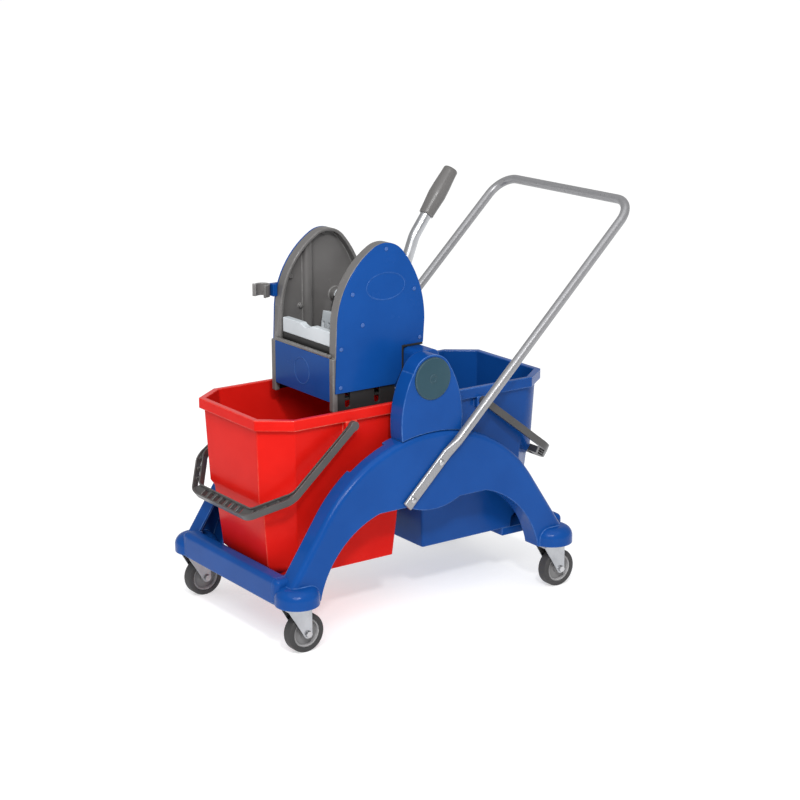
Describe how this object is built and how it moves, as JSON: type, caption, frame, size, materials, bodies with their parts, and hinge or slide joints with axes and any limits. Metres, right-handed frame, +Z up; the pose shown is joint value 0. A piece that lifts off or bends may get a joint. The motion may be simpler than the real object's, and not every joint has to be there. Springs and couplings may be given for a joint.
{
  "type": "double mop bucket trolley",
  "caption": "Wheeled mop bucket trolley: red and blue bucket on a moulded arched chassis, with a lever mop press on a cross beam, swinging bails and a tubular push handle.",
  "frame": {"origin": "on the floor under the middle of the whole object's box", "axes": "+X towards the push handle and the blue bucket, +Y to the side with the mop clip, +Z up"},
  "size_m": [0.8396, 0.45, 0.8329],
  "materials": {
    "blue_plastic": "moulded, slightly glossy",
    "red_plastic": "moulded, slightly glossy",
    "grey_plastic": "moulded, matte",
    "dark_plastic": "moulded, matte",
    "bail_plastic": "moulded, matte",
    "cap_plastic": "moulded, matte",
    "white_plastic": "moulded, smooth",
    "hub_plastic": "moulded, matte",
    "tyre_rubber": "solid rubber",
    "zinc": "zinc plated pressed steel",
    "bolt_steel": "zinc plated",
    "hammered_tube": "silver-grey hammered paint on steel tube",
    "chrome_tube": "chromed steel tube"
  },
  "bodies": {
    "chassis": {"chassis_frame": "blue_plastic", "near_tower": "blue_plastic", "far_tower": "blue_plastic", "tower_screws": "bolt_steel", "cross_beam": "blue_plastic", "cross_bolts": "bolt_steel", "near_disc_cap": "cap_plastic", "far_disc_cap": "cap_plastic", "caster_stems": "zinc", "red_bucket": "red_plastic", "push_handle": "hammered_tube", "handle_bolts": "bolt_steel", "handle_nuts": "bolt_steel"},
    "front_near_caster": {"front_near_fork": "zinc", "front_near_axle_bolt": "bolt_steel"},
    "front_near_wheel": {"front_near_hub": "hub_plastic", "front_near_tyre": "tyre_rubber"},
    "front_far_caster": {"front_far_fork": "zinc", "front_far_axle_bolt": "bolt_steel"},
    "front_far_wheel": {"front_far_hub": "hub_plastic", "front_far_tyre": "tyre_rubber"},
    "rear_near_caster": {"rear_near_fork": "zinc", "rear_near_axle_bolt": "bolt_steel"},
    "rear_near_wheel": {"rear_near_hub": "hub_plastic", "rear_near_tyre": "tyre_rubber"},
    "rear_far_caster": {"rear_far_fork": "zinc", "rear_far_axle_bolt": "bolt_steel"},
    "rear_far_wheel": {"rear_far_hub": "hub_plastic", "rear_far_tyre": "tyre_rubber"},
    "red_bail": {"red_bail": "bail_plastic"},
    "blue_bucket": {"blue_bucket": "blue_plastic"},
    "blue_bail": {"blue_bail": "bail_plastic"},
    "press": {"near_side_frame": "grey_plastic", "far_side_frame": "grey_plastic", "front_sill": "grey_plastic", "near_side_cover": "blue_plastic", "far_side_cover": "blue_plastic", "cover_screws": "blue_plastic", "front_panel": "blue_plastic", "clip_bracket": "blue_plastic", "drain_base": "dark_plastic", "fixed_jaw": "white_plastic", "pivot_bushes": "white_plastic", "mop_clip": "grey_plastic"},
    "lever": {"pivot_axle": "zinc", "jaw_carrier": "dark_plastic", "moving_jaw": "white_plastic", "lever_tube": "chrome_tube", "lever_grip": "grey_plastic"}
  },
  "joints": [
    {"name": "front_near_swivel", "type": "hinge", "parent": "chassis", "child": "front_near_caster", "pos_m": [-0.36251, -0.183, 0.09], "axis": [0, 0, 1], "continuous": true},
    {"name": "front_near_spin", "type": "hinge", "parent": "front_near_caster", "child": "front_near_wheel", "pos_m": [-0.34951, -0.183, 0.0375], "axis": [0, 1, 0], "continuous": true},
    {"name": "front_far_swivel", "type": "hinge", "parent": "chassis", "child": "front_far_caster", "pos_m": [-0.36251, 0.183, 0.09], "axis": [0, 0, 1], "continuous": true},
    {"name": "front_far_spin", "type": "hinge", "parent": "front_far_caster", "child": "front_far_wheel", "pos_m": [-0.34951, 0.183, 0.0375], "axis": [0, 1, 0], "continuous": true},
    {"name": "rear_near_swivel", "type": "hinge", "parent": "chassis", "child": "rear_near_caster", "pos_m": [0.23749, -0.183, 0.09], "axis": [0, 0, 1], "continuous": true},
    {"name": "rear_near_spin", "type": "hinge", "parent": "rear_near_caster", "child": "rear_near_wheel", "pos_m": [0.25049, -0.183, 0.0375], "axis": [0, 1, 0], "continuous": true},
    {"name": "rear_far_swivel", "type": "hinge", "parent": "chassis", "child": "rear_far_caster", "pos_m": [0.23749, 0.183, 0.09], "axis": [0, 0, 1], "continuous": true},
    {"name": "rear_far_spin", "type": "hinge", "parent": "rear_far_caster", "child": "rear_far_wheel", "pos_m": [0.25049, 0.183, 0.0375], "axis": [0, 1, 0], "continuous": true},
    {"name": "red_bail_swing", "type": "hinge", "parent": "chassis", "child": "red_bail", "pos_m": [-0.21451, 0, 0.399], "axis": [0, 1, 0], "range_deg": [0, 100]},
    {"name": "blue_bucket_lift", "type": "slide", "parent": "chassis", "child": "blue_bucket", "axis": [0.7071, 0, 0.7071], "range_m": [0, 0.4]},
    {"name": "blue_bail_swing", "type": "hinge", "parent": "blue_bucket", "child": "blue_bail", "pos_m": [0.08949, 0, 0.399], "axis": [0, -1, 0], "range_deg": [0, 128]},
    {"name": "press_lift", "type": "slide", "parent": "chassis", "child": "press", "axis": [0, 0, 1], "range_m": [0, 0.35]},
    {"name": "press_lever", "type": "hinge", "parent": "press", "child": "lever", "pos_m": [-0.08451, 0, 0.5873], "axis": [0, 1, 0], "range_deg": [0, 36]}
  ]
}
